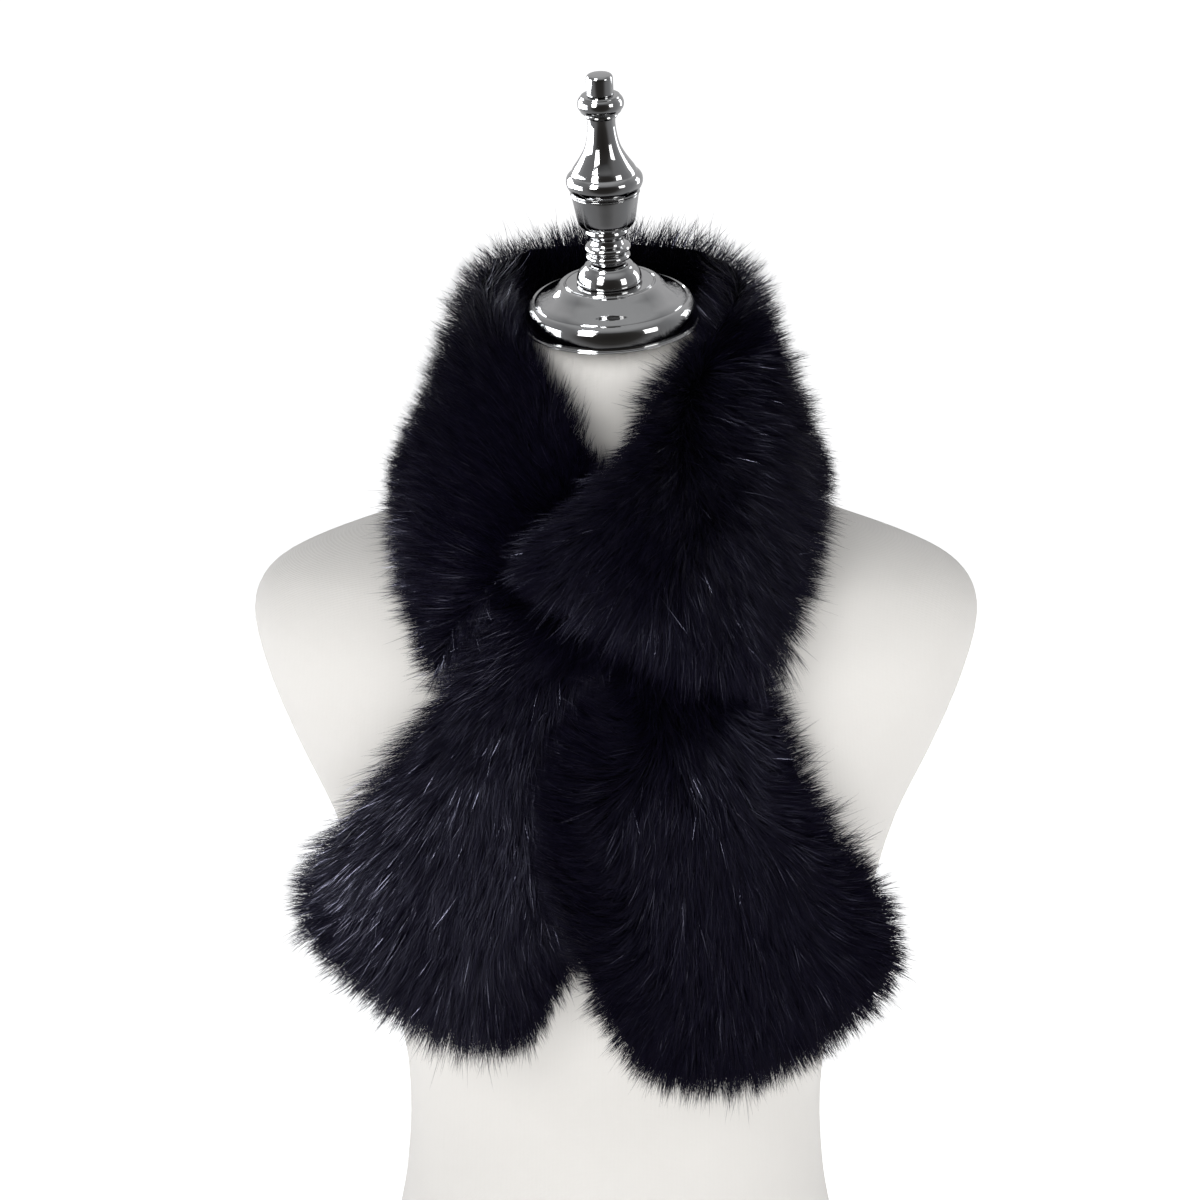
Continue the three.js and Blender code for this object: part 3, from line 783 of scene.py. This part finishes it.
def fine_outline(outline):
    """The outline on a smooth curve between its corners, and which of its points are corners."""
    points = [np.array(p, float) for p in outline]
    ways = [unit(after - before) for before, after in zip(points, points[1:])]
    turns = [np.arccos(np.clip(np.dot(a, b), -1, 1)) for a, b in zip(ways, ways[1:])]
    corner = [True, *(bool(turn > SHARP_TURN) for turn in turns), True]
    fine, sharp = [], []
    for i in range(len(points) - 1):
        b, c = points[i], points[i + 1]
        a = 2 * b - c if corner[i] else points[i - 1]
        d = 2 * c - b if corner[i + 1] else points[i + 2]
        steps = CURVE_STEPS if np.linalg.norm(c - b) < LONG_STEP_MM else 1
        for k in range(steps):
            t = k / steps
            fine.append(b + 0.5 * t * (c - a + t * (2 * a - 5 * b + 4 * c - d + t * (3 * (b - c) + d - a))))
            sharp.append(corner[i] and k == 0)
    return [*fine, points[-1]], [*sharp, True]


def turned(node, outline, place, material):
    """A turned piece. Its rings at the outline's corners are doubled, so that they stay crisp."""
    fine, sharp = fine_outline(outline)
    rings = []
    for i, point in enumerate(fine):
        inside = 0 < i < len(fine) - 1
        rings += [point, point] if sharp[i] and inside else [point]
    angles = np.linspace(0, 2 * math.pi, TURNED_SEGMENTS, endpoint=False)
    verts, faces, ring_start = [], [], []
    for r, h in rings:
        ring_start.append(len(verts))
        verts += [(0, 0, h)] if r < 1e-6 else [(r * math.cos(t), r * math.sin(t), h) for t in angles]
    for i in range(len(rings) - 1):
        a, b = ring_start[i], ring_start[i + 1]
        if np.allclose(rings[i], rings[i + 1]):
            continue
        for j in range(TURNED_SEGMENTS):
            k = (j + 1) % TURNED_SEGMENTS
            if rings[i][0] < 1e-6:
                faces.append((a, b + k, b + j))
            elif rings[i + 1][0] < 1e-6:
                faces.append((a + j, a + k, b))
            else:
                faces.append((a + j, a + k, b + k, b + j))
    placed = [place @ (Vector(v) * MM) for v in verts]
    made = mesh_object(f"{node}_polished", placed, faces, material)
    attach(made, "root")
    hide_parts(node)
    return made


def neck_place():
    axis = Vector((-math.sin(CAP_SIDE_LEAN), -math.sin(NECK_LEAN), 1)).normalized()
    turn = Vector((0, 0, 1)).rotation_difference(axis).to_matrix().to_4x4()
    return Matrix.Translation(CAP_CENTRE_MM * MM) @ turn


# The studio


def area_light(name, place, aim, size, power, colour=(1, 1, 1), diffuse=True, glossy=True):
    data = bpy.data.lights.new(name, "AREA")
    data.shape = "RECTANGLE"
    data.size, data.size_y = size
    data.energy = power
    data.color = colour
    light = bpy.data.objects.new(name, data)
    light.location = place
    light.visible_diffuse, light.visible_glossy = diffuse, glossy
    light.rotation_euler = (Vector(aim) - Vector(place)).to_track_quat("-Z", "Y").to_euler()
    bpy.context.scene.collection.objects.link(light)


def studio_world():
    """A room that is dark in front, where the camera stands, grey at the sides and above, pale behind."""
    world = bpy.data.worlds.new("studio")
    bpy.context.scene.world = world
    world.use_nodes = True
    tree = world.node_tree
    place = tree.nodes.new("ShaderNodeTexCoord")
    split = tree.nodes.new("ShaderNodeSeparateXYZ")
    tree.links.new(place.outputs["Generated"], split.inputs[0])
    front = ramp(tree, [
        (0.0, (0.03, 0.028, 0.026)), (0.1, (0.05, 0.048, 0.046)), (0.22, (0.22, 0.22, 0.225)),
        (0.5, (0.3, 0.305, 0.315)), (0.8, (0.6, 0.6, 0.61)),
    ], ramp_input(tree, split.outputs["Y"]))
    up = ramp(tree, [(0.55, (0, 0, 0)), (0.9, (0.5, 0.505, 0.515))], split.outputs["Z"])
    mix = add_node(tree, "ShaderNodeMix", data_type="RGBA", blend_type="LIGHTEN")
    mix.inputs["Factor"].default_value = 1
    tree.links.new(front, mix.inputs[6])
    tree.links.new(up, mix.inputs[7])
    tree.links.new(mix.outputs[2], tree.nodes["Background"].inputs["Color"])
    tree.nodes["Background"].inputs["Strength"].default_value = 1


def ramp_input(tree, value):
    """A direction's -1 to 1 as 0 to 1."""
    node = add_node(tree, "ShaderNodeMapRange")
    node.inputs["From Min"].default_value = -1
    tree.links.new(value, node.inputs["Value"])
    return node.outputs["Result"]


def studio():
    scene = bpy.context.scene
    scene.view_settings.view_transform = "Standard"
    camera = bpy.data.cameras.new("camera")
    camera.lens, camera.sensor_width, camera.clip_end = LENS_MM, SENSOR_MM, 100
    placed = bpy.data.objects.new("camera", camera)
    back = Vector((0, -math.cos(CAMERA_PITCH), math.sin(CAMERA_PITCH)))
    placed.location = TARGET + back * CAMERA_DISTANCE
    placed.rotation_euler = (-back).to_track_quat("-Z", "Y").to_euler()
    scene.collection.objects.link(placed)
    scene.camera = placed

    middle = (0, 0, 0.5)
    area_light("key", (-1.2, -1.75, 1.5), middle, (0.8, 1.1), 16.5)
    area_light("fill", (1.6, -1.3, 1.35), middle, (0.7, 1.1), 9)
    area_light("front", (0, -2.3, 1.0), middle, (1.2, 0.8), 13, glossy=False)
    area_light("left_side", (-1.9, -0.1, 0.65), middle, (1.2, 1.2), 45, (0.93, 0.96, 1), diffuse=False)
    area_light("left_top", (-0.85, -1.0, 2.0), middle, (0.5, 0.5), 38, (0.93, 0.96, 1), diffuse=False)
    area_light("left_rim", (-1.5, 1.1, 0.8), middle, (1.0, 1.5), 50, (0.93, 0.96, 1), diffuse=False)
    area_light("right_rim", (1.8, 1.0, 1.1), middle, (0.6, 1.5), 10, (0.95, 0.97, 1), diffuse=False)
    studio_world()

    half, level = FLOOR_HALF, -0.5 * MM
    floor = mesh_object(
        "floor",
        [(-half, -half, level), (half, -half, level), (half, half, level), (-half, half, level)],
        [(0, 1, 2, 3)],
        floor_material(),
        smooth=False,
    )
    floor.visible_glossy = False


def build():
    studio()
    ground_material()
    pile = [
        pile_material("fur_pile", 0.0052, 0.15, 0.5, 0.34),
        # Glint strands: glossier, and paler in colour, which at the painted sheen spots stands in for light.
        pile_material("fur_glint", 0.008, 1.0, 0.36, 0.26),
    ]
    cloth, metal = cloth_material(), metal_material()

    torso = form_cloth(cloth)
    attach(torso, "root")
    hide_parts("form_torso")
    place = neck_place()
    for node, outline in TURNED.items():
        turned(node, outline, place, metal)

    cores = {node: ground_core(node) for node in SOLID_PIECES}
    torso_verts, torso_tris, _ = arrays(torso.data)
    form = bvh(torso_verts, torso_tris)
    trees = {node: bvh(made[1], made[2]) for node, made in cores.items()}
    for node in SOLID_PIECES:
        core = cores[node][0]
        others = [tree for name, tree in trees.items() if name != node]
        strands = grow_pile(node, cores[node], form, others, pile)
        for piece in (core, strands):
            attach(piece, "root")
        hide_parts(node)


build()
